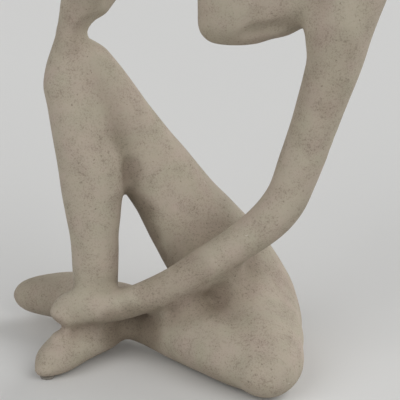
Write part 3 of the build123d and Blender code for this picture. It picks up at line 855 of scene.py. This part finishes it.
# The frayed outline: its depth as a share of the squeeze, and how close its ripples lie.
FRAY_SHARE = 0.35
FRAY_RIPPLES = 9


def pad_rings(radius, height, squeeze):
    """Radius and height of each ring from the underside's middle, round the bulged edge, to the top's."""
    flat = [radius * share for share in PAD_RING_SHARES]
    edge = [(radius - squeezes * squeeze, share * height) for squeezes, share in PAD_EDGE]
    return [(reach, 0.0) for reach in flat] + edge + [(reach, height) for reach in reversed(flat)]


def pad_piece(name, node, settings):
    """A felt disc, squeezed so that its edge bulges, with a slightly frayed outline."""
    low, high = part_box(node)
    middle = (low + high) / 2
    radius = (high.x - low.x) / 2
    height = high.z - low.z
    fray_depth = FRAY_SHARE * settings.squeeze / radius
    work = bmesh.new()
    loops = []
    for reach, rise in pad_rings(radius, height, settings.squeeze):
        loop = []
        for step in range(settings.segments):
            turn = 2 * math.pi * step / settings.segments
            ripple = noise.noise(Vector((math.cos(turn), math.sin(turn), rise)) * FRAY_RIPPLES) - 1
            frayed = reach * (1 + fray_depth * ripple)
            place = (middle.x + frayed * math.cos(turn), middle.y + frayed * math.sin(turn), low.z + rise)
            loop.append(work.verts.new(place))
        loops.append(loop)
    for lower, upper in zip(loops, loops[1:]):
        for step in range(settings.segments):
            following = (step + 1) % settings.segments
            work.faces.new((lower[step], lower[following], upper[following], upper[step]))
    for loop, rise in ((loops[0], 0.0), (loops[-1], height)):
        centre = work.verts.new((middle.x, middle.y, low.z + rise))
        for step in range(settings.segments):
            work.faces.new((centre, loop[(step + 1) % settings.segments], loop[step]))
    bmesh.ops.recalc_face_normals(work, faces=work.faces)
    mesh = bpy.data.meshes.new(name)
    work.to_mesh(mesh)
    work.free()
    mesh.shade_smooth()
    return new_object(name, mesh)


# Stage

FLOOR_REACH = 6.0
LIGHT_SIDES = {
    "left_light": (-0.70, -0.75, 0.70),
    "right_light": (0.70, -0.75, 0.70),
    "back_light": (0.80, 0.60, 0.50),
}


def add_floor(settings):
    """A wide plain floor."""
    mesh = bpy.data.meshes.new("floor")
    corners = ((-1, -1), (1, -1), (1, 1), (-1, 1))
    mesh.from_pydata([(x * FLOOR_REACH, y * FLOOR_REACH, 0) for x, y in corners], [], [(0, 1, 2, 3)])
    floor = new_object("floor", mesh)
    floor.data.materials.append(floor_material(settings))


def add_world(scene, settings):
    """A plain pale world, seen by the camera at the floor's colour."""
    world = bpy.data.worlds.new("studio")
    scene.world = world
    world.use_nodes = True
    tree = world.node_tree
    sky = tree.nodes["Background"]
    sky.inputs["Color"].default_value = (1.0, 1.0, 1.0, 1.0)
    sky.inputs["Strength"].default_value = settings.sky_strength
    seen = add_node(tree, "ShaderNodeBackground", values={"Color": opaque(settings.floor_colour), "Strength": 1.0})
    path = tree.nodes.new("ShaderNodeLightPath")
    pick = tree.nodes.new("ShaderNodeMixShader")
    share = maths(tree, "MAXIMUM", path.outputs["Is Camera Ray"], path.outputs["Is Glossy Ray"])
    share = maths(tree, "MAXIMUM", share, path.outputs["Is Transmission Ray"])
    tree.links.new(share, pick.inputs["Fac"])
    tree.links.new(sky.outputs[0], pick.inputs[1])
    tree.links.new(seen.outputs[0], pick.inputs[2])
    tree.links.new(pick.outputs[0], tree.nodes["World Output"].inputs["Surface"])


def add_light(name, side, strength, spread):
    """A wide soft light from one side, as even on the far floor as on the figure."""
    light = bpy.data.lights.new(name, "SUN")
    light.energy = strength
    light.angle = spread
    holder = new_object(name, light)
    holder.location = side
    holder.rotation_euler = (-Vector(side)).to_track_quat("-Z", "Y").to_euler()


def add_camera(scene, settings):
    """The camera at the photograph's viewing angle."""
    camera = bpy.data.cameras.new("camera")
    camera.lens = settings.camera_lens
    camera.sensor_width = 36.0
    camera.clip_start = 0.01
    camera.clip_end = 50.0
    angle = settings.camera_height_angle
    away = Vector((0.0, -math.cos(angle), math.sin(angle)))
    holder = new_object("camera", camera)
    holder.location = Vector(settings.camera_target) + away * settings.camera_distance
    holder.rotation_euler = (-away).to_track_quat("-Z", "Y").to_euler()
    scene.camera = holder


# Operators

class FIGURINE_OT_castings(bpy.types.Operator):
    """Build the skin of the six castings as one surface, and part it at their joints"""

    bl_idname = "figurine.castings"
    bl_label = "Castings"

    def execute(self, context):
        settings = context.scene.figurine_skin
        points, normals, hollows, quads, owners = finished_skin(settings)
        material = sandstone_material(settings)
        for number, node in enumerate(CASTINGS):
            own = quads[owners == number][:, ::-1]
            piece = casting_piece(node + "_skin", points, own, normals, hollows, settings.rim_depth)
            piece.data.materials.append(material)
            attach(piece, BODY)
            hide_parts(node)
        return {"FINISHED"}


class FIGURINE_OT_rods(bpy.types.Operator):
    """Give the steel rods, dowels and pins their finish"""

    bl_idname = "figurine.rods"
    bl_label = "Rods and pins"

    def execute(self, context):
        material = steel_material(context.scene.figurine_rods)
        for node in RODS:
            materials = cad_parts[node].data.materials
            materials.clear()
            materials.append(material)
        return {"FINISHED"}


class FIGURINE_OT_pads(bpy.types.Operator):
    """Build the felt pads under the seat, the knee and the toes"""

    bl_idname = "figurine.pads"
    bl_label = "Felt pads"

    def execute(self, context):
        settings = context.scene.figurine_pads
        material = felt_material(settings)
        for node in PADS:
            piece = pad_piece(node + "_felt", node, settings)
            piece.data.materials.append(material)
            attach(piece, BODY)
            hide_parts(node)
        return {"FINISHED"}


class FIGURINE_OT_stage(bpy.types.Operator):
    """Lay the floor, set up the lights and place the camera"""

    bl_idname = "figurine.stage"
    bl_label = "Stage"

    def execute(self, context):
        settings = context.scene.figurine_stage
        scene = context.scene
        scene.view_settings.view_transform = "Standard"
        add_floor(settings)
        add_world(scene, settings)
        for name, side in LIGHT_SIDES.items():
            add_light(name, side, getattr(settings, name), settings.light_spread)
        add_camera(scene, settings)
        return {"FINISHED"}


class FIGURINE_PT_panel(bpy.types.Panel):
    """Lists the figurine's steps and settings"""

    bl_label = "Figurine"
    bl_idname = "FIGURINE_PT_panel"
    bl_space_type = "VIEW_3D"
    bl_region_type = "UI"
    bl_category = "Figurine"

    def draw(self, context):
        scene = context.scene
        groups = (
            (FIGURINE_OT_castings, scene.figurine_skin),
            (FIGURINE_OT_rods, scene.figurine_rods),
            (FIGURINE_OT_pads, scene.figurine_pads),
            (FIGURINE_OT_stage, scene.figurine_stage),
        )
        for operator, settings in groups:
            box = self.layout.box()
            box.operator(operator.bl_idname)
            for name in settings.__annotations__:
                box.prop(settings, name)


CLASSES = (
    SkinSettings,
    RodSettings,
    PadSettings,
    StageSettings,
    FIGURINE_OT_castings,
    FIGURINE_OT_rods,
    FIGURINE_OT_pads,
    FIGURINE_OT_stage,
    FIGURINE_PT_panel,
)


def register():
    """Adds the classes and their settings to Blender."""
    for cls in CLASSES:
        bpy.utils.register_class(cls)
    bpy.types.Scene.figurine_skin = PointerProperty(type=SkinSettings)
    bpy.types.Scene.figurine_rods = PointerProperty(type=RodSettings)
    bpy.types.Scene.figurine_pads = PointerProperty(type=PadSettings)
    bpy.types.Scene.figurine_stage = PointerProperty(type=StageSettings)


def unregister():
    """Takes the settings and the classes out again."""
    del bpy.types.Scene.figurine_stage
    del bpy.types.Scene.figurine_pads
    del bpy.types.Scene.figurine_rods
    del bpy.types.Scene.figurine_skin
    for cls in reversed(CLASSES):
        bpy.utils.unregister_class(cls)


def main():
    """Builds everything in order."""
    register()
    bpy.ops.figurine.stage()
    bpy.ops.figurine.castings()
    bpy.ops.figurine.rods()
    bpy.ops.figurine.pads()


if __name__ == "__main__":
    main()
